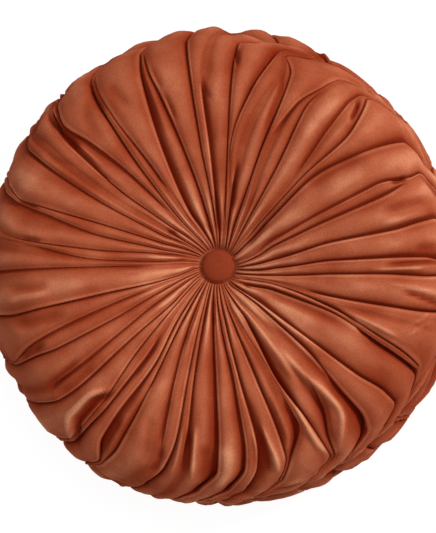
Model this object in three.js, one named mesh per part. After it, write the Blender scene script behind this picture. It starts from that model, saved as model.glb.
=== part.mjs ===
import * as THREE from 'three';

// A round cushion with a pleated cover, lying on its back with its face up.
// Millimetres, +Z up. The origin is under its centre, on the surface it lies on.
// Each half of the cover is a ring of lapped knife pleats, gathered under a covered button in a
// dimple at the centre and turned down over the rim to a drawn-in seam round the side.

// Driving sizes
const BUTTON_RADIUS = 14.3;
const BUTTON_EDGE_HEIGHT = 2.6;
const BUTTON_DOME_HEIGHT = 3.4;
const BUTTON_EDGE_ROUNDING = 1.2;
const BUTTON_SIDES = 24;
const SEAT_GAP = 0.3;
const FLOOR_SINK = 1.4;

// Colours of the velvet, on the pleats and on the buttons
const velvet = { color: 0xa85032, roughness: 0.85, metalness: 0 };
const buttonVelvet = { color: 0x9c4629, roughness: 0.8, metalness: 0 };

// Ridge line of each half, from the centre out to the seam: radius and height of each station, how
// full the pleats are there (a factor on each crease's depth), and the share of the slant that
// their folded edges have by then.
const FRONT_PROFILE = [
  { station: 'patch', radius: 15, height: 66, fullness: 0, slant: 0 },
  { station: 'hub', radius: 17.5, height: 70, fullness: 0.6, slant: 0 },
  { station: 'neck', radius: 34, height: 77.5, fullness: 0.75, slant: 0 },
  { station: 'inner', radius: 51, height: 83.5, fullness: 1, slant: 0 },
  { station: 'ring', radius: 73, height: 89.2, fullness: 1, slant: 0 },
  { station: 'mid', radius: 97, height: 93.5, fullness: 1.05, slant: 0 },
  { station: 'crown', radius: 122, height: 96, fullness: 1.15, slant: 0 },
  { station: 'outer', radius: 148, height: 94.5, fullness: 1.3, slant: 0 },
  { station: 'shoulder', radius: 172, height: 88, fullness: 1.4, slant: 0 },
  { station: 'rim', radius: 188, height: 77, fullness: 1.35, slant: 0 },
  { station: 'bulge', radius: 197, height: 61, fullness: 1, slant: 1 },
  { station: 'tuck', radius: 195, height: 52, fullness: 0.7, slant: 1.25 },
  { station: 'seam', radius: 188, height: 47, fullness: 0.3, slant: 1.4 },
];
const BACK_PROFILE = [
  { station: 'patch', radius: 15, height: 30, fullness: 0, slant: 0 },
  { station: 'hub', radius: 20, height: 26.5, fullness: 0.35, slant: 0 },
  { station: 'neck', radius: 34, height: 17, fullness: 0.5, slant: 0 },
  { station: 'inner', radius: 51, height: 7, fullness: 0.55, slant: 0 },
  { station: 'ring', radius: 73, height: 0.5, fullness: 0.5, slant: 0 },
  { station: 'mid', radius: 97, height: -FLOOR_SINK, fullness: 0.5, slant: 0 },
  { station: 'crown', radius: 122, height: -FLOOR_SINK, fullness: 0.55, slant: 0 },
  { station: 'outer', radius: 148, height: -0.5, fullness: 0.65, slant: 0 },
  { station: 'shoulder', radius: 172, height: 5, fullness: 0.8, slant: 0 },
  { station: 'rim', radius: 188, height: 17, fullness: 1, slant: 0 },
  { station: 'bulge', radius: 196, height: 32, fullness: 0.9, slant: 1 },
  { station: 'tuck', radius: 194, height: 41, fullness: 0.65, slant: 1.25 },
  { station: 'seam', radius: 188, height: 47, fullness: 0.3, slant: 1.4 },
];

// Round the rim, by direction in degrees: how far the folded edges slant back there, in degrees,
// how much deeper than elsewhere the pleats are, and how far the front and the back half stand
// out, in mm.
const RIM_COLUMNS = ['towards', 'slant', 'depth', 'front', 'back'];
const RIM = [
  [0, 8, 1, 1, 4],
  [25, 9, 1, -1, 3],
  [40, 10, 1, 2, 4],
  [55, 10, 1, -1, 4],
  [66, 11, 1, -1, 5],
  [80, 10, 1, -4, 11],
  [90, 6, 1, 2, 5],
  [98, 3, 1, 4, 4],
  [106, 5, 1.1, 5, 2],
  [116, 8, 1.2, 2, 4],
  [124, 9, 1.3, 1, 4],
  [134, 5, 1.8, 4, 2],
  [149, 4, 1.9, 4, 2],
  [165, 4, 1.6, 2, 1],
  [185, 4, 1.2, 2, 1],
  [205, 3, 1.3, 4, 2],
  [217, 4, 1.3, 3, 2],
  [231, 3, 1.3, 1, 2],
  [245, 3.5, 1.2, 2, 2],
  [257, 5, 1.2, 2, 3],
  [270, 8, 1.1, -2, 2],
  [285, 9, 1.1, -4, 2],
  [300, 9, 1.2, -6, 0],
  [315, 10.5, 1.2, -4, 4],
  [332, 11, 1.1, 0, 6],
  [348, 9, 1, 1, 5],
].map((row) => Object.fromEntries(row.map((value, column) => [RIM_COLUMNS[column], value])));

// One row for each crease, going round anticlockwise from the right of the face. The first seven
// columns are the crease's angle in degrees at seven stations. Then come its depth in mm at the mid
// station, the side of it that its hollow lies on at the inner and the outer part of the face, the
// radii in mm between which it shows, and how far the panel after it stands out at the rim, in mm.
// A hollow above zero lies after the crease, under the folded edge of the panel before it, and one
// below zero lies before it, under the panel after it.
const ANGLE_STATIONS = ['hub', 'neck', 'inner', 'mid', 'outer', 'shoulder', 'rim'];
const CREASE_COLUMNS = [...ANGLE_STATIONS, 'depth', 'hollow', 'outerHollow', 'starts', 'ends', 'reach'];
const WHOLE = 999;
const CREASES = [
  [-9, -6, -1.8, 2.7, 2.7, 2.4, 1.2, 6.0, 0.20, 0.20, 0, WHOLE, 0],
  [-2, 3, 7, 11.8, 11.5, 12.2, 12.4, 5.0, 0.15, 0.15, 0, WHOLE, -1],
  [6, 13.5, 19.8, 22.4, 22.8, 23.6, 23.8, 4.0, 0.30, 0.30, 0, 168, -1],
  [12, 19.5, 24.8, 27.1, 27.2, 25.2, 24, 4.0, 0.10, 0.10, 38, WHOLE, 2],
  [34, 38.5, 41.3, 43.4, 38.8, 36, 33.9, 8.0, 0.45, 0.15, 0, WHOLE, 1],
  [42, 43.5, 46, 46.6, 45, 46.5, 48.2, 5.0, 0.20, 0.20, 43, WHOLE, 1],
  [46.5, 49, 49.3, 49.6, 51.3, 51.4, 50.4, 3.0, 0.15, 0.15, 105, WHOLE, -1],
  [50, 55.2, 57.3, 59.3, 61.2, 59, 56.3, 4.5, 0.15, 0.15, 0, 160, 0],
  [54, 60, 63, 68.4, 64.5, 60, 57.3, 4.5, -0.30, -0.30, 122, WHOLE, 0],
  [61, 67.3, 68.6, 69.6, 69, 69.3, 72.2, 7.5, 0.20, 0.20, 0, WHOLE, 1],
  [70, 77, 79.2, 80, 75, 72, 73.1, 6.5, -0.50, -0.30, 0, 82, 3],
  [74.5, 78.6, 80.8, 84.2, 79.4, 76.3, 74.2, 4.5, 0.25, 0.25, 94, WHOLE, 4],
  [77, 80.2, 82.8, 85.2, 85.8, 85.6, 84.8, 4.0, 0.10, 0.08, 43, WHOLE, 1],
  [86.5, 90, 92.3, 94, 95.3, 94, 92, 8.0, -0.45, -0.30, 0, 150, 1],
  [91, 93, 94.8, 97.8, 98.3, 98.2, 97.9, 5.0, 0.15, 0.12, 30, WHOLE, 1],
  [97, 100, 102.3, 106, 108.5, 109.6, 109.2, 5.0, 0.15, 0.30, 0, 180, -1],
  [106, 114.3, 117.6, 115.8, 113.3, 112, 110.4, 6.5, -0.40, -0.45, 0, WHOLE, -2],
  [112, 118.5, 122, 123.4, 125, 124.8, 123.6, 4.5, 0.35, 0.15, 88, WHOLE, -1],
  [120, 126.8, 129, 128.2, 126.7, 125.9, 124.6, 7.0, 0.25, 0.10, 0, 186, -1],
  [124, 129, 131, 133, 135.8, 137.5, 135.5, 4.0, 0.20, 0.50, 67, WHOLE, -2],
  [129, 135, 139.5, 142, 140.9, 139.9, 137.8, 4.5, 0.15, -0.35, 0, WHOLE, -3],
  [138, 142, 143.8, 146.5, 145.5, 144.5, 144, 3.5, 0.40, 0.40, 0, 46, -3],
  [142.5, 146, 150, 151, 149.9, 149, 148.3, 3.2, 0.12, 0.10, 40, WHOLE, -3],
  [147, 152.5, 157, 159.6, 161, 161.3, 159, 3.2, 0.12, 0.15, 0, WHOLE, -3],
  [153, 160, 163, 165, 162.9, 162.2, 160.8, 2.8, 0.15, 0.30, 0, WHOLE, -2],
  [159, 164, 167.5, 171.8, 172.2, 171.6, 169.5, 2.5, 0.20, 0.20, 34, 166, -2],
  [167, 171.5, 175, 176.4, 173.6, 173, 172.5, 2.2, 0.35, 0.35, 0, 150, -2],
  [174, 177.5, 178.8, 179.8, 180.4, 180.7, 181, 2.2, 0.05, 0.05, 60, WHOLE, -3],
  [178, 185, 188, 189.5, 188.5, 187.5, 186.7, 1.0, 0.50, 0.50, 110, 184, -3],
  [184, 192.8, 193.9, 193, 193, 193.2, 192.5, 6.5, 0.25, 0.10, 0, WHOLE, -3],
  [190, 196, 197.4, 199.4, 201.4, 202.8, 205, 3.5, 0.20, 0.20, 63, 189, -3],
  [196, 200, 203, 206.5, 206.8, 206, 206, 4.5, 0.12, 0.10, 0, WHOLE, -3],
  [201, 206, 209, 213.7, 215.4, 215.5, 213, 3.5, 0.15, 0.25, 0, 170, -3],
  [208, 215, 218.8, 219.7, 220.7, 220, 217.4, 5.0, 0.15, 0.12, 0, WHOLE, -2],
  [214, 219.5, 222.5, 226.3, 229.5, 229.6, 229.5, 5.0, 0.12, 0.10, 0, WHOLE, -1],
  [219, 223.5, 226, 231.4, 231.6, 230.8, 230.6, 6.0, 0.45, 0.30, 80, WHOLE, -1],
  [226, 229.8, 232, 237, 235.5, 235.8, 238.5, 6.5, 0.50, 0.60, 0, WHOLE, 1],
  [229.5, 233.5, 236, 239.8, 241, 241, 239.6, 5.0, 0.10, -0.50, 0, WHOLE, 1],
  [238, 242, 244, 248.7, 252.2, 253, 249, 3.5, -0.20, -0.20, 0, 150, 1],
  [245, 250, 252, 254.8, 256.4, 255, 251.5, 6.5, 0.30, 0.35, 0, WHOLE, 1],
  [250, 253, 255, 257.8, 259.6, 259.5, 257.5, 5.0, 0.25, 0.30, 0, 158, 1],
  [260, 263.3, 266, 269, 270.1, 269.8, 265.3, 7.5, -0.35, -0.35, 0, WHOLE, 0],
  [267, 270.5, 273.5, 278, 278.6, 277.6, 273.5, 6.0, -0.35, -0.35, 0, WHOLE, 0],
  [272, 275, 277.5, 280.6, 282.4, 281, 277.3, 5.0, 0.20, 0.35, 0, WHOLE, 2],
  [281, 282.3, 285, 288.4, 289.8, 289.5, 286, 5.0, 0.20, 0.15, 0, WHOLE, 2],
  [283.6, 286, 290, 295.8, 297, 291.3, 287.3, 5.0, -0.40, -0.45, 130, WHOLE, 2],
  [287.5, 294.3, 297.8, 297, 300, 300.6, 300.8, 8.5, 0.25, 0.12, 0, WHOLE, 3],
  [293, 301, 306, 310, 306.6, 303, 301.9, 5.0, -0.30, -0.35, 127, 189, 4],
  [303, 313, 315.8, 316.6, 314.7, 314.3, 312.3, 8.0, 0.40, -0.30, 0, WHOLE, 4],
  [308, 316, 319.3, 321.2, 322, 323, 322.4, 5.0, 0.20, 0.12, 0, WHOLE, 4],
  [318, 330, 336.6, 337.9, 334.6, 333.4, 332.5, 7.5, 0.50, -0.35, 28, WHOLE, 3],
  [327, 339.5, 342.4, 340.1, 336.6, 335.2, 333.6, 6.5, 0.30, -0.50, 0, WHOLE, 2],
  [330, 341, 343.5, 344.8, 346.6, 347.2, 348, 4.5, 0.15, 0.12, 84, WHOLE, 1],
  [339, 347, 351, 355.9, 357.2, 357.1, 357.5, 6.0, 0.20, 0.20, 0, WHOLE, 0],
].map((row) => Object.fromEntries(row.map((value, column) => [CREASE_COLUMNS[column], value])));

// Shape of a panel across its width: it is highest near a crease that it folds over, and further in
// from a crease whose hollow opens into it. It also puffs up between the creases by a share of its
// width. Where a hollow changes sides, it does so over a short range about zero.
const FOLD_SHARE = 0.16;
const HOLLOW_SHARE = 0.45;
const HOLLOW_RANGE = 0.1;
const PUFF_SHARE = 0.16;
const MOST_PUFF = 5;

// A crease fades in and out over this length, and never comes closer to the next, in degrees
const FADE_LENGTH = 9;
const LEAST_GAP = 0.9;

// Rows on each half from its patch to the seam, and points per station of its ridge line
const FRONT_ROWS = 19;
const BACK_ROWS = 13;
const CURVE_STEPS = 40;

function smoothstep(low, high, value) {
  const share = THREE.MathUtils.clamp((value - low) / (high - low), 0, 1);
  return share * share * (3 - 2 * share);
}

// A curve through (x, y) pairs that never overshoots them: cubic, with limited slopes.
function throughPoints(xs, ys) {
  const slopes = xs.slice(1).map((x, i) => (ys[i + 1] - ys[i]) / (x - xs[i]));
  const tangents = xs.map((_, i) => {
    const before = slopes[Math.max(i - 1, 0)];
    const after = slopes[Math.min(i, slopes.length - 1)];
    return before * after <= 0 ? 0 : (2 * before * after) / (before + after);
  });
  return (x) => {
    const next = xs.findIndex((station) => station >= x);
    if (next === 0) return ys[0];
    if (next < 0) return ys[ys.length - 1];
    const i = next - 1;
    const width = xs[next] - xs[i];
    const s = (x - xs[i]) / width;
    const startPull = s * (1 - s) ** 2 * width * tangents[i];
    const endPull = s * s * (s - 1) * width * tangents[next];
    return ys[i] * (1 + 2 * s) * (1 - s) ** 2 + ys[next] * s * s * (3 - 2 * s) + startPull + endPull;
  };
}

// The ridge line of one half as functions of the run, the distance travelled from the patch.
function makeMeridian(profile) {
  const curve = new THREE.CatmullRomCurve3(
    profile.map(({ radius, height }) => new THREE.Vector3(radius, 0, height)), false, 'centripetal');
  const lengths = curve.getLengths((profile.length - 1) * CURVE_STEPS);
  const runs = profile.map((_, i) => lengths[i * CURVE_STEPS]);
  const total = lengths[lengths.length - 1];
  const runOf = Object.fromEntries(profile.map(({ station }, i) => [station, runs[i]]));
  const fullness = throughPoints(runs, profile.map((row) => row.fullness));
  const slantShare = throughPoints(runs, profile.map((row) => row.slant));
  const faceCount = profile.findIndex(({ station }) => station === 'rim') + 1;
  const faceRadii = profile.slice(0, faceCount).map((row) => row.radius);
  const runAtRadius = throughPoints(faceRadii, runs.slice(0, faceCount));
  return { curve, total, runOf, fullness, slantShare, runAtRadius };
}

// A column of the table of the rim, in this direction.
function roundRim(column, angle) {
  const direction = THREE.MathUtils.euclideanModulo(angle, 360);
  const after = RIM.findIndex(({ towards }) => towards > direction);
  const next = after < 0 ? { ...RIM[0], towards: 360 } : RIM[after];
  const before = after < 0 ? RIM[RIM.length - 1] : RIM[after - 1];
  const share = (direction - before.towards) / (next.towards - before.towards);
  return THREE.MathUtils.lerp(before[column], next[column], share);
}

// Angle of each crease along the run. Past the rim the folded edges slant back to the seam.
function makeCreasePaths(meridian) {
  const { runOf, slantShare, runAtRadius } = meridian;
  const runs = ANGLE_STATIONS.map((station) => runOf[station]);
  return CREASES.map((crease) => {
    const faceAngle = throughPoints(runs, ANGLE_STATIONS.map((station) => crease[station]));
    const slant = roundRim('slant', crease.rim);
    return {
      ...crease,
      angle: (run) => faceAngle(run) - slant * slantShare(run),
      rimDepth: roundRim('depth', crease.rim),
      startRun: crease.starts > 0 ? runAtRadius(crease.starts) : -WHOLE,
      endRun: crease.ends < WHOLE ? runAtRadius(crease.ends) : WHOLE,
    };
  });
}

// How much of a crease shows at this run: it fades in and out at its two ends.
function presence(crease, run) {
  const startShare = smoothstep(crease.startRun - FADE_LENGTH, crease.startRun + FADE_LENGTH, run);
  const endShare = 1 - smoothstep(crease.endRun - FADE_LENGTH, crease.endRun + FADE_LENGTH, run);
  return startShare * endShare;
}

// Share of a panel's width from a crease to the top beside it. The hollow is signed here so that
// the panel folds over the crease where it is above zero.
function topShare(hollow) {
  const foldsOver = THREE.MathUtils.clamp(0.5 + hollow / HOLLOW_RANGE, 0, 1);
  return THREE.MathUtils.lerp(HOLLOW_SHARE, FOLD_SHARE, foldsOver);
}

// One row of points across all the panels of one half, at the given run.
function makeRow(meridian, paths, run, side) {
  const share = run / meridian.total;
  const ridge = meridian.curve.getPointAt(share);
  const tangent = meridian.curve.getTangentAt(share);
  const normal = new THREE.Vector2(-tangent.z, tangent.x).multiplyScalar(side);
  const fullness = meridian.fullness(run);
  const outerShare = smoothstep(meridian.runOf.mid, meridian.runOf.outer, run);
  const rimShare = smoothstep(meridian.runOf.outer, meridian.runOf.bulge, run);
  const seamShare = smoothstep(meridian.runOf.bulge, meridian.total, run);
  const depthOf = (crease) => crease.depth * fullness * presence(crease, run)
    * THREE.MathUtils.lerp(1, crease.rimDepth, rimShare);
  const hollowOf = (crease) => THREE.MathUtils.lerp(crease.hollow, crease.outerHollow, outerShare);
  const angles = paths.map((crease) => crease.angle(run));
  for (let i = 1; i < angles.length; i += 1) angles[i] = Math.max(angles[i], angles[i - 1] + LEAST_GAP);
  return paths.flatMap((crease, i) => {
    const next = paths[(i + 1) % paths.length];
    const nextAngle = i + 1 < paths.length ? angles[i + 1] : angles[0] + 360;
    const width = THREE.MathUtils.degToRad(nextAngle - angles[i]) * ridge.x;
    const puff = Math.min(width * PUFF_SHARE, MOST_PUFF) * Math.min(fullness, 1);
    const ownReach = THREE.MathUtils.lerp(crease.reach, next.reach, 0.5);
    return [0, topShare(-hollowOf(crease)), 1 - topShare(hollowOf(next))].map((step) => {
      const lift = step > 0 ? puff * Math.sin(Math.PI * step) : -depthOf(crease);
      const direction = THREE.MathUtils.lerp(angles[i], nextAngle, step);
      const halfReach = roundRim(side > 0 ? 'front' : 'back', direction);
      const reach = (ownReach + halfReach) * rimShare * (1 - seamShare);
      const angle = THREE.MathUtils.degToRad(direction);
      const radius = ridge.x + reach + normal.x * lift;
      const height = Math.max(ridge.z + normal.y * lift, 0);
      return new THREE.Vector3(radius * Math.cos(angle), radius * Math.sin(angle), height);
    });
  });
}

function makeHalfRows(profile, rowCount, side) {
  const meridian = makeMeridian(profile);
  const paths = makeCreasePaths(meridian);
  const rows = [];
  for (let k = 0; k <= rowCount; k += 1) {
    rows.push(makeRow(meridian, paths, (meridian.total * k) / rowCount, side));
  }
  return rows;
}

// Joins rings of points into one closed body, with a fan at each end.
function closeRings(rings) {
  const columns = rings[0].length;
  const points = rings.flat();
  const ends = [rings[0], rings[rings.length - 1]].map((ring) => {
    const centre = ring.reduce((sum, point) => sum.add(point), new THREE.Vector3()).divideScalar(columns);
    return new THREE.Vector3(0, 0, centre.z);
  });
  const indices = [];
  const top = points.length;
  const bottom = top + 1;
  const last = (rings.length - 1) * columns;
  for (let i = 0; i < columns; i += 1) {
    const j = (i + 1) % columns;
    indices.push(top, i, j);
    for (let k = 0; k < rings.length - 1; k += 1) {
      const [a, b, c, d] = [k * columns + i, k * columns + j, (k + 1) * columns + i, (k + 1) * columns + j];
      indices.push(a, c, b, b, c, d);
    }
    indices.push(bottom, last + j, last + i);
  }
  const geometry = new THREE.BufferGeometry().setFromPoints([...points, ...ends]);
  geometry.setIndex(indices);
  return geometry;
}

// The front half runs down to the seam, and the back half goes on from its own row next to it.
function makeCushion() {
  const front = makeHalfRows(FRONT_PROFILE, FRONT_ROWS, 1);
  const back = makeHalfRows(BACK_PROFILE, BACK_ROWS, -1).slice(0, BACK_ROWS);
  const geometry = closeRings([...front, ...back.reverse()]);
  const mesh = new THREE.Mesh(geometry, new THREE.MeshStandardMaterial(velvet));
  mesh.name = 'cushion';
  return mesh;
}

// A covered button: a flat foot, a short rolled edge and a low dome, turned about its axis.
function makeButton(name) {
  const faceRadius = BUTTON_RADIUS - BUTTON_EDGE_ROUNDING;
  const profile = [new THREE.Vector2(0, 0)];
  const edgeSteps = 4;
  for (let i = 0; i <= edgeSteps; i += 1) {
    const turn = (Math.PI * i) / edgeSteps - Math.PI / 2;
    const height = BUTTON_EDGE_HEIGHT * (0.5 + 0.5 * Math.sin(turn));
    profile.push(new THREE.Vector2(faceRadius + BUTTON_EDGE_ROUNDING * Math.cos(turn), height));
  }
  const domeSteps = 5;
  for (let i = 1; i <= domeSteps; i += 1) {
    const turn = (Math.PI / 2) * (i / domeSteps);
    const radius = i === domeSteps ? 0 : faceRadius * Math.cos(turn);
    profile.push(new THREE.Vector2(radius, BUTTON_EDGE_HEIGHT + BUTTON_DOME_HEIGHT * Math.sin(turn)));
  }
  const geometry = new THREE.LatheGeometry(profile, BUTTON_SIDES);
  geometry.rotateX(Math.PI / 2);
  const mesh = new THREE.Mesh(geometry, new THREE.MeshStandardMaterial(buttonVelvet));
  mesh.name = name;
  return mesh;
}

const cushion = makeCushion();

const buttonFront = makeButton('button_front');
buttonFront.position.z = FRONT_PROFILE[0].height + SEAT_GAP;

const buttonBack = makeButton('button_back');
buttonBack.rotation.x = Math.PI;
buttonBack.position.z = BACK_PROFILE[0].height - SEAT_GAP;

// The uneven rim reaches further on some sides, so the part is moved to stand its box on the origin.
const part = new THREE.Group();
part.name = 'pleated_cushion';
part.add(cushion, buttonFront, buttonBack);
const boxCentre = new THREE.Box3().setFromObject(cushion, true).getCenter(new THREE.Vector3());
part.position.set(-boxCentre.x, -boxCentre.y, 0);

export default part;
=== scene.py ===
"""A round velvet cushion with lapped knife pleats, lying on its back, seen from above its face."""

import math
from collections import namedtuple

import bpy
import numpy as np
from mathutils import Matrix, Vector, noise


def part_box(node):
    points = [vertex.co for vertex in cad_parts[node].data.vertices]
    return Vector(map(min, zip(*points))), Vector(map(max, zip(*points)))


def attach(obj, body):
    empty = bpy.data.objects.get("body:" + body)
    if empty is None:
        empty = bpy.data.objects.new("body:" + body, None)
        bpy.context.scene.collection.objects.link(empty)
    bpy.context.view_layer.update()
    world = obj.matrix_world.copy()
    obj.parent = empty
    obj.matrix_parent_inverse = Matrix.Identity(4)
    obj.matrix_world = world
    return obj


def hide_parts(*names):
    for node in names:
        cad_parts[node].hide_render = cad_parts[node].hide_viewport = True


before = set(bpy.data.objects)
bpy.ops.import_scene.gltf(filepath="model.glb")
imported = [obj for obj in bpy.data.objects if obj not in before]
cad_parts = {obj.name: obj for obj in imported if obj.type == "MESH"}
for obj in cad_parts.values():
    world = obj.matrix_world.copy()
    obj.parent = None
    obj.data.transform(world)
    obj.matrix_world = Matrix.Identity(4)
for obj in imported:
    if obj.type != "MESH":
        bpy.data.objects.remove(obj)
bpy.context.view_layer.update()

# Lengths in the tables below are in millimetres
MM = 0.001

# Height of the picture in pixels and its scale at the cushion, and the camera: how many metres it
# is from the point it looks at, how many degrees it leans, towards which direction, and how high
# over the floor that point is
PICTURE_HEIGHT = 533
MM_PER_PIXEL = 0.84
CAMERA_DISTANCE = 2.2
CAMERA_LEAN = 5.0
LEAN_TOWARDS = -45.0
AIM_HEIGHT = 66.0

# The button: its radius, the heights of its edge and of the dome on it, the same as those of the
# solids, the radius of its rolled edge, and that of its innermost ring
BUTTON_RADIUS = 14.3
BUTTON_EDGE_HEIGHT = 2.6
BUTTON_DOME_HEIGHT = 3.4
BUTTON_ROUNDING = 1.2
BUTTON_MIDDLE = 0.05

# Ridge line of each half, from the centre out to the seam: radius and height of each station, how
# full the pleats are there, and the share of the slant that their folded edges have by then
PROFILE_COLUMNS = ("radius", "height", "fullness", "slant")
FRONT_PROFILE = {
    "patch": (15, 66, 0, 0),
    "hub": (17.5, 70, 0.6, 0),
    "neck": (34, 77.5, 0.75, 0),
    "inner": (51, 83.5, 1, 0),
    "ring": (73, 89.2, 1, 0),
    "mid": (97, 93.5, 1.05, 0),
    "crown": (122, 96, 1.15, 0),
    "outer": (148, 94.5, 1.3, 0),
    "shoulder": (172, 88, 1.4, 0),
    "rim": (188, 77, 1.35, 0),
    "bulge": (197, 61, 1, 1),
    "tuck": (195, 52, 0.7, 1.25),
    "seam": (188, 47, 0.3, 1.4),
}
BACK_PROFILE = {
    "patch": (15, 30, 0, 0),
    "hub": (20, 26.5, 0.35, 0),
    "neck": (34, 17, 0.5, 0),
    "inner": (51, 7, 0.55, 0),
    "ring": (73, 0.5, 0.5, 0),
    "mid": (97, -1.4, 0.5, 0),
    "crown": (122, -1.4, 0.55, 0),
    "outer": (148, -0.5, 0.65, 0),
    "shoulder": (172, 5, 0.8, 0),
    "rim": (188, 17, 1, 0),
    "bulge": (196, 32, 0.9, 1),
    "tuck": (194, 41, 0.65, 1.25),
    "seam": (188, 47, 0.3, 1.4),
}

# Round the rim, by direction: how far the folded edges slant back there, in degrees, how much
# deeper than elsewhere the pleats are, how far the front and the back half stand out, and how much
# painted light the pile's colour gets there, painted shade where it is less than nothing
RIM_COLUMNS = ("towards", "slant", "depth", "front", "back", "shade")
RIM = (
    (0, 8, 1, 1, 4, 0.0),
    (25, 9, 1, -5, 3, 0.5),
    (40, 10, 1, -1, 5, 0.2),
    (55, 10, 1, -3, 4, -0.4),
    (66, 11, 1, -5, 5, -0.8),
    (80, 10, 1, -6, 8, -0.8),
    (90, 6, 1, 2.5, 4, -0.6),
    (98, 3, 1, 2.5, 3, -0.6),
    (106, 5, 1.1, 3.5, 1.5, -0.6),
    (116, 8, 1.2, 2, 4, -0.5),
    (124, 9, 1.3, 1, 4, -0.3),
    (134, 5, 1.8, 3, 2, -0.1),
    (149, 4, 1.9, 2, 1, 0.0),
    (165, 4, 1.6, 1, 0.5, 0.0),
    (185, 4, 1.2, 2, 1, -0.1),
    (205, 3, 1.3, 2, 1, -0.1),
    (217, 4, 1.3, 1.5, 1, -0.2),
    (231, 3, 1.3, 0.5, 1, -0.3),
    (245, 3.5, 1.2, 1.5, 1, -0.3),
    (257, 5, 1.2, 2, 2.5, -0.2),
    (270, 8, 1.1, -2.5, 2, 0.0),
    (285, 9, 1.1, -5, 1, -0.1),
    (300, 9, 1.2, -8, 0, -0.4),
    (315, 10.5, 1.2, -7, 3, -0.8),
    (332, 11, 1.1, -4, 6, -1.1),
    (348, 9, 1, 0, 5, -0.7),
)

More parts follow.
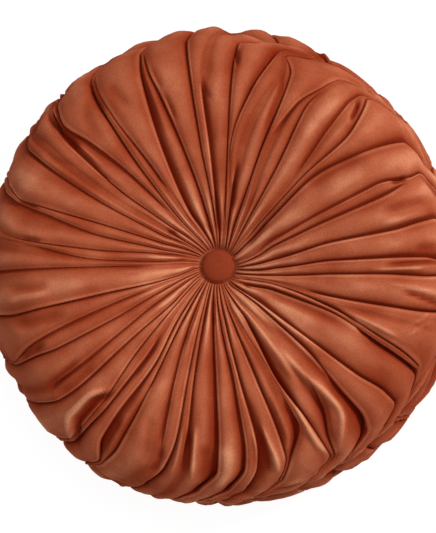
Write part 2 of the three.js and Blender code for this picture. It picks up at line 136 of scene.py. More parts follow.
# One row for each crease, going round anticlockwise from the right of the face: its angle in
# degrees at seven stations, its depth at the mid station, the share of a panel that its hollow
# takes on the inner and on the outer part of the face, the radii between which it shows, where
# WHOLE runs on to the seam, and how far the panel stands out at the rim. A hollow above nothing
# lies after the crease, under the folded edge of the panel before it, and one below nothing lies
# before it, under the panel after it
ANGLE_STATIONS = ("hub", "neck", "inner", "mid", "outer", "shoulder", "rim")
CREASE_COLUMNS = ANGLE_STATIONS + ("depth", "hollow", "outer_hollow", "starts", "ends", "reach")
WHOLE = 999
CREASES = (
    (-9, -6, -1.8, 2.7, 2.7, 2.4, 1.2, 4.5, 0.15, 0.20, 0, WHOLE, 0),
    (-2, 3, 7, 11.8, 11.5, 12.2, 12.4, 4.5, 0.15, 0.15, 0, WHOLE, -1),
    (6, 13.5, 19.8, 22.4, 22.8, 23.6, 23.8, 3.5, 0.30, 0.30, 0, 168, -1),
    (12, 19.5, 24.8, 27.1, 27.2, 25.2, 24, 3.2, 0.10, 0.10, 38, WHOLE, 2),
    (34, 38.5, 41.3, 43.4, 38.8, 36, 33.9, 7.0, 0.45, 0.15, 0, WHOLE, 1),
    (42, 43.5, 46, 46.6, 45, 46.5, 48.2, 4.5, 0.20, 0.20, 43, WHOLE, 1),
    (46.5, 49, 49.3, 49.6, 51.3, 51.4, 50.4, 2.5, 0.15, 0.15, 105, WHOLE, -1),
    (50, 55.2, 57.3, 59.3, 61.2, 59, 56.3, 3.5, 0.15, 0.15, 0, 160, 0),
    (54, 60, 63, 68.4, 64.5, 60, 57.3, 3.2, -0.30, -0.30, 122, WHOLE, 0),
    (61, 67.3, 68.6, 69.6, 69, 69.3, 72.2, 5.0, 0.12, 0.20, 0, WHOLE, 1),
    (70, 77, 79.2, 80, 75, 72, 73.1, 4.5, -0.30, -0.30, 0, 82, 3),
    (74.5, 78.6, 80.8, 84.2, 79.4, 76.3, 74.2, 4.5, 0.25, 0.25, 94, WHOLE, 4),
    (77, 80.2, 82.8, 85.2, 85.8, 85.6, 84.8, 3.0, 0.10, 0.08, 43, WHOLE, 1),
    (86.5, 90, 92.3, 94, 95.3, 94, 92, 4.5, -0.28, -0.20, 0, 150, 1),
    (91, 93, 94.8, 97.8, 98.3, 98.2, 97.9, 4.0, 0.15, 0.12, 30, WHOLE, 1),
    (97, 100, 102.3, 106, 108.5, 109.6, 109.2, 4.5, 0.15, 0.30, 0, 180, -1),
    (106, 114.3, 117.6, 115.8, 113.3, 112, 110.4, 4.5, -0.28, -0.35, 0, WHOLE, -2),
    (112, 118.5, 122, 123.4, 125, 124.8, 123.6, 5.5, 0.30, 0.15, 84, WHOLE, -1),
    (120, 126.8, 129, 128.2, 126.7, 125.9, 124.6, 6.0, 0.25, 0.10, 0, 186, -1),
    (124, 129, 131, 133, 135.8, 137.5, 135.5, 3.2, 0.20, 0.50, 67, WHOLE, -2),
    (129, 135, 139.5, 142, 140.9, 139.9, 137.8, 3.0, 0.15, -0.35, 0, WHOLE, -3),
    (138, 142, 143.8, 146.5, 145.5, 144.5, 144, 3.5, 0.40, 0.40, 0, 46, -3),
    (142.5, 146, 150, 151, 149.9, 149, 148.3, 2.2, 0.12, 0.10, 40, WHOLE, -3),
    (147, 152.5, 157, 159.6, 161, 161.3, 159, 2.4, 0.12, 0.15, 0, WHOLE, -3),
    (153, 160, 163, 165, 162.9, 162.2, 160.8, 2.0, 0.15, 0.30, 0, WHOLE, -2),
    (159, 164, 167.5, 171.8, 172.2, 171.6, 169.5, 1.8, 0.20, 0.20, 34, 166, -2),
    (167, 171.5, 175, 176.4, 173.6, 173, 172.5, 1.6, 0.35, 0.35, 0, 150, -2),
    (174, 177.5, 178.8, 179.8, 180.4, 180.7, 181, 1.8, 0.05, 0.05, 60, WHOLE, -3),
    (184, 192.8, 193.9, 193, 193, 193.2, 192.5, 4.0, 0.25, 0.10, 0, WHOLE, -3),
    (190, 196, 197.4, 199.4, 201.4, 202.8, 205, 2.6, 0.20, 0.20, 63, 189, -3),
    (196, 200, 203, 206.5, 206.8, 206, 206, 3.0, 0.12, 0.10, 0, WHOLE, -3),
    (201, 206, 209, 213.7, 215.4, 215.5, 213, 2.8, 0.15, 0.25, 0, 170, -3),
    (208, 215, 218.8, 219.7, 220.7, 220, 217.4, 3.5, 0.15, 0.12, 0, WHOLE, -2),
    (214, 219.5, 222.5, 226.3, 229.5, 229.6, 229.5, 3.5, 0.12, 0.10, 0, WHOLE, -1),
    (219, 223.5, 226, 231.4, 231.6, 230.8, 230.6, 4.5, 0.30, 0.20, 80, WHOLE, -1),
    (226, 229.8, 232, 237, 235.5, 235.8, 238.5, 4.5, 0.35, 0.40, 0, WHOLE, 1),
    (229.5, 233.5, 236, 239.8, 241, 241, 239.6, 4.0, 0.10, -0.25, 0, WHOLE, 1),
    (238, 242, 244, 248.7, 252.2, 253, 249, 3.0, -0.20, -0.20, 0, 150, 1),
    (245, 250, 252, 254.8, 256.4, 255, 251.5, 5.5, 0.20, 0.25, 0, WHOLE, 1),
    (250, 253, 255, 257.8, 259.6, 259.5, 257.5, 3.2, 0.10, 0.14, 0, 158, 1),
    (260, 263.3, 266, 269, 270.1, 269.8, 265.3, 6.0, -0.30, -0.30, 0, WHOLE, 0),
    (267, 270.5, 273.5, 278, 278.6, 277.6, 273.5, 5.0, -0.30, -0.30, 0, WHOLE, 0),
    (272, 275, 277.5, 280.6, 282.4, 281, 277.3, 4.5, 0.20, 0.35, 0, WHOLE, 2),
    (281, 282.3, 285, 288.4, 289.8, 289.5, 286, 4.0, 0.20, 0.15, 0, WHOLE, 2),
    (283.6, 286, 290, 295.8, 297, 291.3, 287.3, 4.5, -0.40, -0.45, 130, WHOLE, 2),
    (287.5, 294.3, 297.8, 297, 300, 300.6, 300.8, 7.5, 0.25, 0.12, 0, WHOLE, 3),
    (293, 301, 306, 310, 306.6, 303, 301.9, 4.2, -0.30, -0.35, 134, 189, 4),
    (303, 313, 315.8, 316.6, 314.7, 314.3, 312.3, 7.5, 0.40, -0.30, 0, WHOLE, 4),
    (308, 316, 319.3, 321.2, 322, 323, 322.4, 4.0, 0.10, 0.10, 0, WHOLE, 4),
    (318, 330, 336.6, 337.9, 334.6, 333.4, 332.5, 6.5, 0.40, -0.15, 28, WHOLE, 3),
    (327, 339.5, 342.4, 340.1, 336.6, 335.2, 333.6, 6.0, 0.30, -0.30, 0, WHOLE, 2),
    (330, 341, 343.5, 344.8, 346.6, 347.2, 348, 4.5, 0.15, 0.12, 84, WHOLE, 1),
    (339, 347, 351, 355.9, 357.2, 357.1, 357.5, 5.5, 0.20, 0.20, 0, WHOLE, 0),
)

# Soft dents and rolls that run along the panels between the creases, one row for each: the radii
# between which it shows, counted on along the side past the rim, its angle at the first radius, at
# two even steps and at the last, its half width, and its height, which is less than nothing for a
# dent
SOFT_STATIONS = ("first", "second", "third", "last")
SOFT_COLUMNS = ("starts", "ends") + SOFT_STATIONS + ("half_width", "rise")
SOFT_FOLDS = (
    (140, 186, 0.3, 0.6, 0.9, 1.1, 1.8, -3.5),
    (166, 184, 5, 5, 5, 5, 4, -2.5),
    (140, 182, 14, 14.2, 14.2, 14, 3, 2.5),
    (144, 188, 18.4, 18.3, 18, 17.5, 3.5, -3.5),
    (161, 175, 25.6, 25.4, 25.2, 25, 2, -5),
    (30, 55, 37, 39, 41, 42.5, 2.5, -2),
    (100, 150, 41, 40.5, 39.5, 38, 6, -2.5),
    (130, 172, 48.4, 48.2, 48, 48.2, 2, 1),
    (164, 184, 47.8, 48.2, 48.8, 49.8, 1.8, -6),
    (118, 184, 56.8, 55.5, 54, 52.5, 5, 1.5),
    (50, 72, 77.5, 78.5, 79.2, 79.4, 2.5, -3),
    (118, 170, 70.8, 71, 70.6, 71.4, 2.5, -3.5),
    (168, 184, 84.6, 84.8, 85, 85, 1.8, -4),
    (27, 60, 88, 89.5, 91, 92, 2.5, -3),
    (138, 149, 92.5, 93.2, 94, 94.6, 2, -1.5),
    (126, 150, 106, 106.3, 106.6, 106.8, 1.3, -2.5),
    (156, 174, 107.6, 107.9, 108.2, 108.4, 1.5, -2),
    (27, 38, 102, 104, 106, 108, 2.5, -1.5),
    (118, 184, 112.8, 112.4, 112, 111.6, 3, -1.5),
    (150, 176, 119, 119.5, 120.5, 121, 4, -2),
    (158, 190, 126.5, 125.9, 125.2, 124.3, 3.5, -2),
    (150, 194, 139.4, 139.4, 138.8, 137.8, 3, -8),
    (140, 176, 131.5, 132, 131, 129, 6, -2),
    (43, 50, 141, 142.5, 144, 145, 2, -1.8),
    (34, 40, 148.3, 148.4, 148.6, 148.7, 1.2, -1.6),
    (147, 172, 145.5, 146.3, 146.8, 147, 3, -1.2),
    (126, 170, 152.6, 153.4, 153.6, 153, 6, -1.5),
    (157, 176, 161.6, 161.8, 161.8, 161.6, 2, -3),
    (134, 176, 167, 167.4, 167.6, 167.4, 5, -1.8),
    (27, 33.5, 168, 169, 170, 171, 1, -1.5),
    (148, 164, 171.6, 171.6, 171.6, 171.6, 1.5, -3),
    (18, 24, 180, 182, 184, 186, 1.2, -1.5),
    (98, 148, 190.6, 190.8, 190.8, 190.4, 3.5, -1.2),
    (140, 178, 186.6, 186.4, 186.2, 185.6, 4, -2),
    (140, 178, 188.6, 188.7, 188.9, 189.2, 2.5, 2),
    (132, 176, 196.6, 196.9, 196.8, 196, 5, -3),
    (158, 184, 204, 204.2, 204.4, 204.8, 3, -3),
    (34, 40, 213, 213.3, 213.7, 214, 1.2, -1.6),
    (140, 176, 214, 214.6, 215, 215.2, 3, -3),
    (130, 172, 218, 218.6, 218.8, 218.4, 4, -2.5),
    (80, 116, 232, 232.4, 232.6, 232.6, 1.8, -1.5),
    (136, 192, 228, 224.8, 225, 230, 2.6, 4.2),
    (138, 188, 229.8, 227.4, 227.6, 231, 2.8, -8),
    (150, 184, 237.8, 237.6, 237.6, 238.4, 4, -2.5),
    (136, 170, 246, 247, 248, 249, 4, -1.5),
    (158, 180, 252.8, 253, 252.6, 251.6, 3, -2.5),
    (59, 71, 245, 245.3, 245.7, 246, 1, -0.8),
    (140, 176, 257.6, 257.8, 257.8, 257, 1.8, 2),
    (140, 174, 260.2, 260.6, 261, 261, 3, -4),
    (135, 176, 262, 262.4, 262.7, 262.9, 2.2, 3.5),
    (150, 180, 265.5, 266, 266, 265, 6, -3),
    (25, 50, 262.5, 264, 265, 266, 2, -2),
    (150, 186, 272, 272, 271.6, 270.5, 6, 2),
    (140, 184, 282, 282, 281.6, 279.5, 2, 2),
    (140, 178, 284.1, 284.2, 284.2, 284, 2.5, -4.5),
    (138, 180, 285.2, 286, 286.7, 286.6, 2.2, 3),
    (118, 160, 291, 291, 291, 291, 2.2, -1.2),
    (132, 186, 299.4, 299, 299.2, 300.2, 2.6, 3.5),
    (142, 182, 297, 295, 291.5, 288, 4, -2.5),
    (40, 118, 299, 300.2, 301.4, 301.8, 3.5, -2.5),
    (30, 118, 300, 303.5, 305, 305.5, 7, 2.5),
    (52, 164, 308.5, 313, 313.6, 311.6, 3.2, -2.5),
    (136, 181, 308, 306, 303.7, 302, 3, -2),
    (88, 186, 307, 308.8, 310.8, 303, 3.5, 4),
    (44, 120, 329.5, 333.5, 334.5, 334, 4, -2.5),
    (30, 112, 313, 319, 321.5, 322.5, 6, 2.5),
    (112, 162, 340.5, 339.6, 339, 338.4, 2.2, 3),
    (108, 186, 341.6, 342.4, 343, 343.6, 2.6, -2.2),
    (168, 184, 340, 342, 344, 346, 2, 1.5),
    (27, 34, 326, 325.5, 325, 324.5, 1.5, -1.8),
    (166, 180, 343, 344, 345.5, 347, 2, 2),
    (156, 190, 352, 351.4, 350.6, 349.8, 2, -4.5),
    (144, 186, 354.2, 353.7, 353.2, 352.6, 2, 1.8),
    (17, 22, 354, 355, 355, 356, 1.5, -1.2),
    (130, 172, 358.4, 358.8, 359.1, 359.3, 2.2, 3),
)

# How near in degrees two creases may come, the length over which a crease starts or runs out on
# each side of the radius in its row, and how far above the floor the cover stays
LEAST_GAP = 0.9
FADE_LENGTH = 11.0
LEAST_HEIGHT = 0.2

# How far a folded edge overhangs its crease for each mm of depth, the depths between which that
# sets in, and the most of a panel's width that an overhang or the rounding of a fold may take
MOST_LAP = 0.6
LAP_DEPTHS = (2.5, 8)
MOST_WIDTH_SHARE = 0.3

# Rounding of a folded edge: its width, and how much is added for each mm of depth, then its height
# for each mm of depth, and the most it may be
FOLD_WIDTH = 0.9
FOLD_WIDTH_SHARE = 0.12
FOLD_HEIGHT_SHARE = 0.45
MOST_FOLD_HEIGHT = 2.0

# How much a panel puffs up for each mm of its width, near the button and on the face, and the most
# it may, and the least share of its width that its top keeps
HUB_PUFF, FACE_PUFF = 0.28, 0.09
MOST_PUFF = 2.2
LEAST_TOP_SHARE = 0.05

# Least share of a panel that a hollow takes, near the button and on the face, how much of its
# depth it rises evenly, where across it the rest of the rise starts, and the difference in the
# hollow column over which the folded edge changes sides
HUB_HOLLOW, FACE_HOLLOW = 0.3, 0.1
EVEN_RISE = 0.25
STEEP_RISE_START = 0.25
SIDE_CHANGE = 0.1

# Shares of a soft fold's length over which it sets in and runs out
SOFT_SETS_IN = (-0.1, 0.25)
SOFT_RUNS_OUT = (0.75, 1.1)

# Slow waves of the cloth along the panels: how high they are, how many radians round the cushion
# and millimetres along the fold each takes, and how far apart they lie in the noise
WAVES = ((0.9, 0.11, 46.0), (0.4, 0.045, 22.0))
WAVE_OFFSET = 7.3

# Small folds of the cloth gathered into the side seam: how high, how many radians round the cushion
# and millimetres down the side each takes, the length at the seam where they run out, and how high
# their crests stand and how steeply they fall for each mm of height
SIDE_RISE = 2.8
SIDE_AROUND = 0.2
SIDE_ALONG = 5.0
SIDE_RUN_OUT = 3.0
SIDE_CREST, SIDE_FALL = 0.5, 2.0

# Painted light and shade in the pile's colour, lighter the higher a point stands in mm: the painted
# highlight that a folded edge adds, and the depths between which that sets in, the painted highlight
# that the crests of panels near the button add, and the widths between which that fades, how much of
# the soft folds and of the gathered folds counts, the painted light added near the button, and how
# much stronger the painted contrast is there
EDGE_HIGHLIGHT = 2.3
HIGHLIGHT_DEPTHS = (0.5, 5)
HUB_HIGHLIGHT = 1.5
HIGHLIT_WIDTHS = (5, 14)
SOFT_TONE_SHARE = 0.85
SIDE_TONE_SHARE = 0.7
HUB_LIGHT = 0.5
HUB_CONTRAST = 0.8

# Tones of the first and the last colour, and where between them the three middle colours are
TONE_RANGE = (-6.0, 4.0)
MIDDLE_STOPS = (0.45, 0.62, 0.80)

# Colours of the pile, from the painted shade at the bottoms of the creases, through the velvet's own
# colour, to the painted highlight on the lightest folded edges
PLEAT_COLOURS = (
    (0.20, 0.009, 0.0012),
    (0.26, 0.034, 0.010),
    (0.342, 0.0625, 0.0235),
    (0.46, 0.115, 0.052),
    (0.70, 0.27, 0.14),
)
BUTTON_COLOURS = (
    (0.20, 0.028, 0.010),
    (0.24, 0.035, 0.012),
    (0.275, 0.042, 0.015),
    (0.29, 0.045, 0.017),
    (0.30, 0.05, 0.020),
)

# How the velvet takes the light
PILE_SETTINGS = {
    "Roughness": 0.7,
    "Specular IOR Level": 0.03,
    "Sheen Weight": 0.22,
    "Sheen Roughness": 0.4,
    "Sheen Tint": (1.0, 0.22, 0.09, 1.0),
}

# Soft patches of brushed pile and the fine nap: scale and detail of each noise, the part of the
# noise that is used, and how far it changes the tone or multiplies the brightness
PATCH_SCALE, PATCH_DETAIL = 34.0, 3.0
PATCH_TONES = (-0.08, 0.08)
NAP_SCALE, NAP_DETAIL = 1100.0, 2.0
NAP_SHADES = (0.82, 1.18)
NOISE_RANGE = (0.3, 0.7)
NAP_BUMP_STRENGTH = 0.35
NAP_BUMP_METRES = 0.0004

# Steps across a panel: on a fold's underside, round the fold, and along the panel's top
PanelSteps = namedtuple("PanelSteps", "under round top")
FRONT_STEPS = PanelSteps(2, 3, 9)
BACK_STEPS = PanelSteps(1, 2, 5)

# Distances between the rows of points, on the face and over the rim
FACE_ROW_PITCH = 2.9
RIM_ROW_PITCH = 1.6

# The cover's innermost ring, hidden under the button, as a share of its first row's radius
MIDDLE_SHARE = 0.03

# Steps of a button round its axis, round its rolled edge and up its dome
BUTTON_SIDES = 96
EDGE_STEPS = 9
DOME_STEPS = 16

# The floor's half width and the point that the lights face, both in metres, and the height of the
# camera's sensor
FLOOR_HALF_WIDTH = 4.0
LIGHT_AIM = (0, 0, 0.06)
SENSOR_HEIGHT = 24.0

# What one crease is like along the rows: arrays of its depth, its hollow and its overhang
Crease = namedtuple("Crease", "depth hollow lap")


def named_columns(rows, names):
    """The columns of a table, each under its name."""
    return dict(zip(names, np.array(rows, float).T))


def smoothstep(low, high, value):
    share = np.clip((value - low) / (high - low), 0.0, 1.0)
    return share * share * (3.0 - 2.0 * share)


def through_points(xs, ys, x):
    """A curve through the points that never overshoots them: cubic, with limited slopes."""
    xs = np.asarray(xs, float)
    ys = np.asarray(ys, float)
    x = np.clip(np.asarray(x, float), xs[0], xs[-1])
    slopes = np.diff(ys) / np.diff(xs)
    before = np.concatenate((slopes[:1], slopes))
    after = np.concatenate((slopes, slopes[-1:]))
    same_way = before * after > 0
    safe_sum = np.where(same_way, before + after, 1.0)
    tangents = np.where(same_way, 2.0 * before * after / safe_sum, 0.0)
    i = np.clip(np.searchsorted(xs, x) - 1, 0, len(xs) - 2)
    width = xs[i + 1] - xs[i]
    s = (x - xs[i]) / width
    rise = ys[i] * (1 + 2 * s) * (1 - s) ** 2 + ys[i + 1] * s * s * (3 - 2 * s)
    return rise + width * (tangents[i] * s * (1 - s) ** 2 + tangents[i + 1] * s * s * (s - 1))


class Half:
    """One half of the cover: its ridge line and its stations along the run from patch to seam."""

    def __init__(self, profile, side, steps):
        columns = named_columns(list(profile.values()), PROFILE_COLUMNS)
        self.side = side
        self.steps = steps
        self.names = list(profile)
        self.radius = columns["radius"]
        self.height = columns["height"]
        self.fullness = columns["fullness"]
        self.slant = columns["slant"]
        lengths = np.hypot(np.diff(self.radius), np.diff(self.height))
        self.runs = np.concatenate(([0.0], np.cumsum(lengths)))
        self.total = self.runs[-1]

    def run_of(self, name):
        return self.runs[self.names.index(name)]

    def radius_of(self, name):
        return self.radius[self.names.index(name)]

    def run_at_radius(self, radius):
        count = self.names.index("rim") + 1
        return through_points(self.radius[:count], self.runs[:count], radius)

    def along(self, column, run):
        return through_points(self.runs, column, run)

    def rows(self):
        """Runs of the rows: wider apart on the face, closer over the rim."""
        face = self.run_of("shoulder")
        face_rows = np.linspace(0.0, face, round(face / FACE_ROW_PITCH), endpoint=False)
        side_length = self.total - face
        side_rows = np.linspace(face, self.total, round(side_length / RIM_ROW_PITCH) + 1)
        return np.concatenate((face_rows, side_rows))

    def ridge(self, run):
        """Radius, height and outward normal of the ridge line at these runs."""
        radius = self.along(self.radius, run)
        height = self.along(self.height, run)
        nudge = 0.5
        turn_r = self.along(self.radius, run + nudge) - self.along(self.radius, run - nudge)
        turn_z = self.along(self.height, run + nudge) - self.along(self.height, run - nudge)
        length = np.hypot(turn_r, turn_z)
        return radius, height, -turn_z / length * self.side, turn_r / length * self.side


def round_rim(column, angle):
    """A column of the table of the rim, in the direction of these angles."""
    rim = named_columns(RIM, RIM_COLUMNS)
    return np.interp(angle, rim["towards"], rim[column], period=360)


def lean_shift(radius, height, angle):
    """How many degrees further round the leaning camera shows a point, for its height."""
    lean = math.radians(CAMERA_LEAN)
    sideways = (height - AIM_HEIGHT) * math.sin(lean) * math.cos(lean)
    return np.degrees(sideways / radius) * np.sin(np.radians(angle - LEAN_TOWARDS))


def crease_paths(half, run):
    """The table's columns, and each crease's angle, presence and hollow, as rows by creases."""
    columns = named_columns(CREASES, CREASE_COLUMNS)
    stations = [half.run_of(name) for name in ANGLE_STATIONS]
    slants = round_rim("slant", columns["rim"])
    slant_share = half.along(half.slant, run)
    angles = np.stack(
        [
            through_points(stations, row[: len(ANGLE_STATIONS)], run) - slant * slant_share
            for row, slant in zip(CREASES, slants)
        ],
        axis=1,
    )
    radius = half.along(half.radius, run)[:, None]
    height = half.along(half.height, run)[:, None]
    angles = angles - lean_shift(radius, height, angles)
    for i in range(1, angles.shape[1]):
        angles[:, i] = np.maximum(angles[:, i], angles[:, i - 1] + LEAST_GAP)
    starts = np.where(columns["starts"] > 0, half.run_at_radius(columns["starts"]), -WHOLE)
    ends = np.where(columns["ends"] < WHOLE, half.run_at_radius(columns["ends"]), WHOLE)
    shown = smoothstep(starts - FADE_LENGTH, starts + FADE_LENGTH, run[:, None])
    shown = shown * (1.0 - smoothstep(ends - FADE_LENGTH, ends + FADE_LENGTH, run[:, None]))
    outward = smoothstep(half.run_of("mid"), half.run_of("outer"), run)[:, None]
    hollows = columns["hollow"] * (1.0 - outward) + columns["outer_hollow"] * outward
    return columns, angles, shown, hollows


def hollow_side(crease, hollow_width, steps):
    """Distances, lifts and painted highlights, none here, from a crease's bottom up the open side of its
    hollow.
    """
    count = steps.under + steps.round
    no_highlight = np.zeros_like(crease.depth)
    side = []
    for share in np.arange(count + 1) / count:
        rise = EVEN_RISE * share + (1.0 - EVEN_RISE) * smoothstep(STEEP_RISE_START, 1.0, share)
        distance = share * (hollow_width + crease.lap) - crease.lap
        side.append((distance, (rise - 1.0) * crease.depth, no_highlight))
    return side


def fold_side(crease, fold_width, fold_height, steps):
    """Distances, lifts and painted highlights from a crease's bottom, out under a folded edge and round
    it.
    """
    no_highlight = np.zeros_like(crease.depth)
    side = []
    for share in np.arange(steps.under) / steps.under:
        distance = crease.lap * (1.0 - share) ** 2
        lift = -crease.depth + share * (crease.depth - fold_height)
        side.append((distance, lift, no_highlight))
    # Painted highlight round the folded edge, stronger for deeper creases
    highlight = EDGE_HIGHLIGHT * smoothstep(*HIGHLIGHT_DEPTHS, crease.depth)
    for turn in np.linspace(0.0, 0.5 * math.pi, steps.round + 1):
        distance = fold_width * (1.0 - math.cos(turn))
        side.append((distance, fold_height * (math.sin(turn) - 1.0), highlight * math.sin(turn)))
    return side


def panel_side(width, crease, least_hollow, folds_over, steps):
    """One side of a panel, from the crease's bottom to the panel's top.

    Where folds_over is one, this panel folds over the crease, and where it is nothing, the crease's
    hollow opens into this panel.
    """
    added_width = FOLD_WIDTH_SHARE * crease.depth
    fold_width = np.minimum(FOLD_WIDTH + added_width, MOST_WIDTH_SHARE * width)
    fold_height = np.minimum(FOLD_HEIGHT_SHARE * crease.depth, MOST_FOLD_HEIGHT)
    fold = fold_side(crease, fold_width, fold_height, steps)
    hollow_width = np.maximum(np.abs(crease.hollow), least_hollow) * width
    slope = hollow_side(crease, hollow_width, steps)
    return [
        tuple(a * folds_over + b * (1.0 - folds_over) for a, b in zip(folded, open_side))
        for folded, open_side in zip(fold, slope)
    ]


def panel_section(width, start, end, puff, crest_highlight, least_hollow, steps):
    """Points across one panel, from the crease before it to the one after, for every row.

    Across is measured along the face from the first crease's line, lift from the ridge line, and
    the third array is the painted highlight that each point adds to its painted light and shade.
    """
    first_over = np.clip(0.5 - start.hollow / SIDE_CHANGE, 0.0, 1.0)
    last_over = np.clip(0.5 + end.hollow / SIDE_CHANGE, 0.0, 1.0)
    first = panel_side(width, start, least_hollow, first_over, steps)
    last = panel_side(width, end, least_hollow, last_over, steps)
    from_top = first[-1][0]
    to_top = np.maximum(width - last[-1][0], from_top + LEAST_TOP_SHARE * width)
    samples = list(first)
    for step in range(1, steps.top + 1):
        share = step / (steps.top + 1)
        arch = 4.0 * share * (1.0 - share)
        samples.append((from_top + share * (to_top - from_top), puff * arch, crest_highlight * arch))
    samples.append((to_top, *last[-1][1:]))
    samples += [(width - distance, lift, highlight) for distance, lift, highlight in last[-2:0:-1]]
    return (np.stack(column, axis=1) for column in zip(*samples))


def soft_folds(outward, ridge_height, angle):
    """Height of the soft dents and rolls at these radii and angles."""
    height = np.zeros_like(angle)
    degrees = np.degrees(angle)
    degrees = degrees + lean_shift(outward, ridge_height, degrees)
    for row in SOFT_FOLDS:
        fold = dict(zip(SOFT_COLUMNS, row))
        angles = [fold[name] for name in SOFT_STATIONS]
        share = (outward - fold["starts"]) / (fold["ends"] - fold["starts"])
        centre = through_points(np.linspace(0, 1, len(angles)), angles, share)
        off_centre = (degrees - centre + 180.0) % 360.0 - 180.0
        across = np.radians(off_centre) * outward
        shown = smoothstep(*SOFT_SETS_IN, share) * (1.0 - smoothstep(*SOFT_RUNS_OUT, share))
        height += fold["rise"] * shown * np.exp(-((across / fold["half_width"]) ** 2))
    return height


def noise_round(angles, around, level):
    """Smooth noise at the angles of one row, each swell about this many radians long."""
    return [noise.noise(Vector((math.cos(a) / around, math.sin(a) / around, level))) for a in angles]


def slow_waves(run, angle, fullness):
    """The uneven swell of the cloth along the pleats."""
    height = np.zeros_like(angle)
    for layer, (rise, around, along) in enumerate(WAVES):
        swell = [
            noise_round(row, around, distance / along + WAVE_OFFSET * layer)
            for distance, row in zip(run, angle)
        ]
        height += rise * np.array(swell)
    return height * np.minimum(fullness, 1.0)[:, None]


def side_folds(half, run, angle):
    """Small uneven folds round the side, where the pleats are gathered into the seam."""
    share = smoothstep(half.run_of("rim"), half.run_of("bulge"), run)
    share = share * (1.0 - smoothstep(half.total - SIDE_RUN_OUT, half.total, run))
    swell = np.zeros_like(angle)
    for i in np.flatnonzero(share > 0):
        swell[i] = noise_round(angle[i], SIDE_AROUND, half.side * run[i] / SIDE_ALONG)
    return SIDE_RISE * (SIDE_CREST - SIDE_FALL * np.abs(swell)) * share[:, None]


def pleat_grid(half, run, radius, fullness, from_hub, rim_share):
    """Angle, lift, painted highlight and reach of every point of one half, as arrays of rows by columns.
    """
    columns, angles, shown, hollows = crease_paths(half, run)
    deeper = 1.0 + (round_rim("depth", columns["rim"]) - 1.0) * rim_share[:, None]
    depths = columns["depth"] * fullness[:, None] * shown * deeper
    after = np.roll(angles, -1, axis=1)
    after[:, -1] += 360.0
    widths = np.radians(after - angles) * radius[:, None]
    narrower = np.minimum(widths, np.roll(widths, 1, axis=1))
    laps = MOST_LAP * smoothstep(*LAP_DEPTHS, depths) * depths
    laps = np.minimum(laps, MOST_WIDTH_SHARE * narrower)
    least_hollow = HUB_HOLLOW + (FACE_HOLLOW - HUB_HOLLOW) * from_hub
    puff_share = HUB_PUFF + (FACE_PUFF - HUB_PUFF) * from_hub
    creases = [Crease(*arrays) for arrays in zip(depths.T, hollows.T, laps.T)]
    panels = []
    for i, start in enumerate(creases):
        j = (i + 1) % len(creases)
        width = widths[:, i]
        puff = np.minimum(puff_share * width, MOST_PUFF) * np.minimum(fullness, 1.0)
        # Painted highlight on the crests of narrow panels near the button
        crest_highlight = HUB_HIGHLIGHT * (1.0 - from_hub) * (1.0 - smoothstep(*HIGHLIT_WIDTHS, width))
        across, lift, highlight = panel_section(
            width, start, creases[j], puff, crest_highlight, least_hollow, half.steps)
        share = across / width[:, None]
        reach = columns["reach"][i] * (1 - share) + columns["reach"][j] * share
        angle = np.radians(angles[:, i])[:, None] + across / radius[:, None]
        panels.append((angle, lift, highlight, reach * rim_share[:, None]))
    return (np.concatenate(grid, axis=1) for grid in zip(*panels))


def half_points(half):
    """All points of one half of the cover, as rows by columns by (x, y, z), and their painted light and
    shade.
    """
    run = half.rows()
    radius, height, out_r, out_z = half.ridge(run)
    fullness = half.along(half.fullness, run)
    from_hub = smoothstep(half.run_of("hub"), half.run_of("mid"), run)
    rim_share = smoothstep(half.run_of("outer"), half.run_of("bulge"), run)
    angle, lift, highlight, reach = pleat_grid(half, run, radius, fullness, from_hub, rim_share)
    degrees = np.degrees(angle)
    half_name = "front" if half.side > 0 else "back"
    reach = reach + round_rim(half_name, degrees) * rim_share[:, None]
    lift = lift + slow_waves(run, angle, fullness)
    # Painted light or painted shade by direction round the rim, growing from the crown to the shoulder
    shade_share = smoothstep(half.run_of("crown"), half.run_of("shoulder"), run)[:, None]
    # Painted shade and light: darker the lower a point lies in the creases, lighter on crests, with
    # stronger contrast and added painted light near the button
    hub_share = (1.0 - from_hub)[:, None]
    painted_light = lift * (1.0 + HUB_CONTRAST * hub_share) + HUB_LIGHT * hub_share
    painted_light = painted_light + highlight + round_rim("shade", degrees) * shade_share
    if half.side > 0:
        past_rim = np.maximum(run - half.run_of("rim"), 0.0)
        outward = np.where(past_rim > 0, half.radius_of("rim") + past_rim, radius)
        soft = soft_folds(outward[:, None], height[:, None], angle)
        lift = lift + soft
        # The soft dents add painted shade to the colour and the rolls a painted highlight
        painted_light = painted_light + SOFT_TONE_SHARE * soft
    gathered = side_folds(half, run, angle)
    # Painted shade in the valleys of the gathered side folds and painted light on their crests
    painted_light = painted_light + SIDE_TONE_SHARE * gathered
    seam_share = smoothstep(half.run_of("bulge"), half.total, run)[:, None]
    reach = reach * (1.0 - seam_share)
    lift = lift * (1.0 - seam_share) + np.minimum(lift, 0.0) * seam_share + gathered
    reach_radius = radius[:, None] + reach + out_r[:, None] * lift
    points = np.empty(angle.shape + (3,))
    points[..., 0] = reach_radius * np.cos(angle)
    points[..., 1] = reach_radius * np.sin(angle)
    points[..., 2] = np.maximum(height[:, None] + out_z[:, None] * lift, LEAST_HEIGHT)
    return points, painted_light


def add_object(name, data):
    """A new object in the scene, made of this mesh, light or camera."""
    added = bpy.data.objects.new(name, data)
    bpy.context.scene.collection.objects.link(added)
    return added


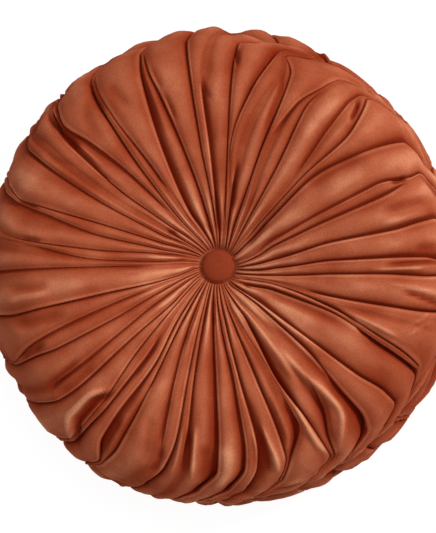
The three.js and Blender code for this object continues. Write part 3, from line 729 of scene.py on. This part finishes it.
def ring_mesh(name, points, flip):
    """A closed ring of quads through rows by columns of points in millimetres."""
    rows, columns = points.shape[:2]
    index = np.arange(rows * columns).reshape(rows, columns)
    after = np.roll(index, -1, axis=1)
    corners = (index[:-1], index[1:], after[1:], after[:-1])
    if flip:
        corners = corners[::-1]
    quads = np.stack(corners, axis=-1).reshape(-1, 4)
    mesh = bpy.data.meshes.new(name)
    mesh.from_pydata((points.reshape(-1, 3) * MM).tolist(), [], quads.tolist())
    mesh.shade_smooth()
    return add_object(name, mesh)


def cover_piece(name, half, centre):
    """One half of the cover as an object, with the painted light and shade of its pile at every point.
    """
    points, painted_light = half_points(half)
    middle = points[:1] * (MIDDLE_SHARE, MIDDLE_SHARE, 1.0)
    points = np.concatenate((middle, points)) + centre
    painted_light = np.concatenate((painted_light[:1], painted_light))
    piece = ring_mesh(name, points, flip=half.side < 0)
    # The painted light and shade at every point, read by the material
    shade = piece.data.attributes.new("painted_light", "FLOAT", "POINT")
    shade.data.foreach_set("value", painted_light.reshape(-1).astype(np.float32))
    return piece


def button_profile():
    """Radius and height along the foot, the rolled edge and the low dome of a covered button."""
    face = BUTTON_RADIUS - BUTTON_ROUNDING
    profile = [(BUTTON_MIDDLE, 0.0)]
    for turn in np.linspace(-0.5 * math.pi, 0.5 * math.pi, EDGE_STEPS):
        height = BUTTON_EDGE_HEIGHT * (0.5 + 0.5 * math.sin(turn))
        profile.append((face + BUTTON_ROUNDING * math.cos(turn), height))
    for turn in np.linspace(0.0, 0.5 * math.pi, DOME_STEPS)[1:]:
        radius = max(face * math.cos(turn), BUTTON_MIDDLE)
        profile.append((radius, BUTTON_EDGE_HEIGHT + BUTTON_DOME_HEIGHT * math.sin(turn)))
    return profile


def button_piece(name, foot_height, upside_down=False):
    """A turned button whose foot is at this height in metres, centred on the cover."""
    turns = np.linspace(0.0, 2.0 * math.pi, BUTTON_SIDES, endpoint=False)
    radii, heights = np.array(button_profile()).T[:, :, None]
    points = np.empty((len(radii), BUTTON_SIDES, 3))
    points[..., 0] = radii * np.cos(turns)
    points[..., 1] = radii * np.sin(turns)
    points[..., 2] = heights * (-1.0 if upside_down else 1.0)
    return ring_mesh(name, points + cover_centre + (0, 0, foot_height / MM), flip=not upside_down)


def velvet(name, colours):
    """Short-pile velvet: painted shade in the creases, painted highlights on crests, uneven pile in soft
    patches, a fine nap.
    """
    material = bpy.data.materials.new(name)
    material.use_nodes = True
    nodes = material.node_tree.nodes
    links = material.node_tree.links
    shader = nodes["Principled BSDF"]
    for socket, value in PILE_SETTINGS.items():
        shader.inputs[socket].default_value = value
    coordinates = nodes.new("ShaderNodeTexCoord")

    def noise_of(scale, detail):
        texture = nodes.new("ShaderNodeTexNoise")
        texture.inputs["Scale"].default_value = scale
        texture.inputs["Detail"].default_value = detail
        links.new(coordinates.outputs["Object"], texture.inputs["Vector"])
        return texture.outputs["Fac"]

    def ranged(value, from_range, to_range):
        node = nodes.new("ShaderNodeMapRange")
        limits = (*from_range, *to_range)
        for socket, limit in zip(("From Min", "From Max", "To Min", "To Max"), limits):
            node.inputs[socket].default_value = limit
        links.new(value, node.inputs["Value"])
        return node.outputs["Result"]

    painted_light = nodes.new("ShaderNodeAttribute")
    painted_light.attribute_name = "painted_light"
    # Painted light and shade, with soft random patches of pile added
    painted_light_and_patches = nodes.new("ShaderNodeMath")
    painted_light_and_patches.operation = "ADD"
    links.new(ranged(painted_light.outputs["Fac"], TONE_RANGE, (0.0, 1.0)), painted_light_and_patches.inputs[0])
    patches = ranged(noise_of(PATCH_SCALE, PATCH_DETAIL), NOISE_RANGE, PATCH_TONES)
    links.new(patches, painted_light_and_patches.inputs[1])
    # Ramp from the painted shade of the creases through the velvet's own colour to painted highlights
    ramp = nodes.new("ShaderNodeValToRGB")
    stops = ramp.color_ramp.elements
    for position in MIDDLE_STOPS:
        stops.new(position)
    for stop, colour in zip(stops, colours):
        stop.color = (*colour, 1.0)
    links.new(painted_light_and_patches.outputs["Value"], ramp.inputs["Fac"])

    nap = noise_of(NAP_SCALE, NAP_DETAIL)
    shade = nodes.new("ShaderNodeHueSaturation")
    links.new(ramp.outputs["Color"], shade.inputs["Color"])
    links.new(ranged(nap, NOISE_RANGE, NAP_SHADES), shade.inputs["Value"])
    links.new(shade.outputs["Color"], shader.inputs["Base Color"])

    bump = nodes.new("ShaderNodeBump")
    bump.inputs["Strength"].default_value = NAP_BUMP_STRENGTH
    bump.inputs["Distance"].default_value = NAP_BUMP_METRES
    links.new(nap, bump.inputs["Height"])
    links.new(bump.outputs["Normal"], shader.inputs["Normal"])
    return material


def disc_light(name, place, diameter, power):
    """A disc of light that faces the middle of the cushion."""
    light = bpy.data.lights.new(name, "AREA")
    light.shape = "DISK"
    light.size = diameter
    light.energy = power
    lamp = add_object(name, light)
    lamp.location = place
    facing = Vector(LIGHT_AIM) - Vector(place)
    lamp.rotation_euler = facing.to_track_quat("-Z", "Y").to_euler()
    return lamp


# The solids' box is centred on the origin and their buttons a little beside it, so the cover's
# centre is taken from the front button
button_low, button_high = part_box("button_front")
button_centre = (button_low + button_high) / 2 / MM
cover_centre = np.array([button_centre.x, button_centre.y, 0.0])

cover_front = cover_piece("cover_front", Half(FRONT_PROFILE, 1, FRONT_STEPS), cover_centre)
cover_back = cover_piece("cover_back", Half(BACK_PROFILE, -1, BACK_STEPS), cover_centre)
button_front = button_piece("button_front_cover", button_low.z)
back_foot_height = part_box("button_back")[1].z
button_back = button_piece("button_back_cover", back_foot_height, upside_down=True)

pleat_velvet = velvet("velvet_of_pleats", PLEAT_COLOURS)
button_velvet = velvet("velvet_of_buttons", BUTTON_COLOURS)
for piece, material, slot in (
    (cover_front, pleat_velvet, "pleated_velvet"),
    (cover_back, pleat_velvet, "pleated_velvet"),
    (button_front, button_velvet, "button_velvet"),
    (button_back, button_velvet, "button_velvet"),
):
    piece.data.materials.append(material)
    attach(piece, "root")
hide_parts("cushion")
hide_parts("cushion")
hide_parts("button_front")
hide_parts("button_back")

# White floor, lit mostly by itself, so that the cushion's shadow hardly shows
floor_mesh = bpy.data.meshes.new("floor")
floor_corners = [
    (x * FLOOR_HALF_WIDTH, y * FLOOR_HALF_WIDTH, 0) for x, y in ((-1, -1), (1, -1), (1, 1), (-1, 1))]
floor_mesh.from_pydata(floor_corners, [], [(0, 1, 2, 3)])
floor = add_object("floor", floor_mesh)
floor_material = bpy.data.materials.new("floor")
floor_material.use_nodes = True
floor_shader = floor_material.node_tree.nodes["Principled BSDF"]
floor_shader.inputs["Base Color"].default_value = (0.12, 0.12, 0.12, 1.0)
floor_shader.inputs["Roughness"].default_value = 0.9
floor_shader.inputs["Emission Color"].default_value = (1.0, 1.0, 1.0, 1.0)
floor_shader.inputs["Emission Strength"].default_value = 0.95
floor_mesh.materials.append(floor_material)

# Light from the upper right of the face, with a weaker one overhead and even light all round
disc_light("key", place=(2.84, 1.64, 2.29), diameter=0.9, power=109)
fill = disc_light("fill", place=(0.02, 0.06, 0.8), diameter=0.5, power=2.4)
fill.visible_camera = False
world = bpy.data.worlds.new("studio")
world.use_nodes = True
world.node_tree.nodes["Background"].inputs["Color"].default_value = (1, 1, 1, 1)
world.node_tree.nodes["Background"].inputs["Strength"].default_value = 0.165
bpy.context.scene.world = world
bpy.context.scene.view_settings.view_transform = "Standard"

# Camera over the face, leaning a little towards its lower right
aim = Vector((button_centre.x, button_centre.y, AIM_HEIGHT)) * MM
lean = math.radians(CAMERA_LEAN)
towards = math.radians(LEAN_TOWARDS)
offset = Vector((math.sin(lean) * math.cos(towards), math.sin(lean) * math.sin(towards), math.cos(lean)))
camera_data = bpy.data.cameras.new("camera")
camera = add_object("camera", camera_data)
camera.location = aim + offset * CAMERA_DISTANCE
view_back = offset.normalized()
view_right = Vector((0, 1, 0)).cross(view_back).normalized()
view_up = view_back.cross(view_right)
camera.rotation_euler = Matrix((view_right, view_up, view_back)).transposed().to_euler()
camera_data.sensor_fit = "VERTICAL"
camera_data.sensor_height = SENSOR_HEIGHT
view_height = PICTURE_HEIGHT * MM_PER_PIXEL * MM
camera_data.lens = SENSOR_HEIGHT * CAMERA_DISTANCE / view_height
bpy.context.scene.camera = camera
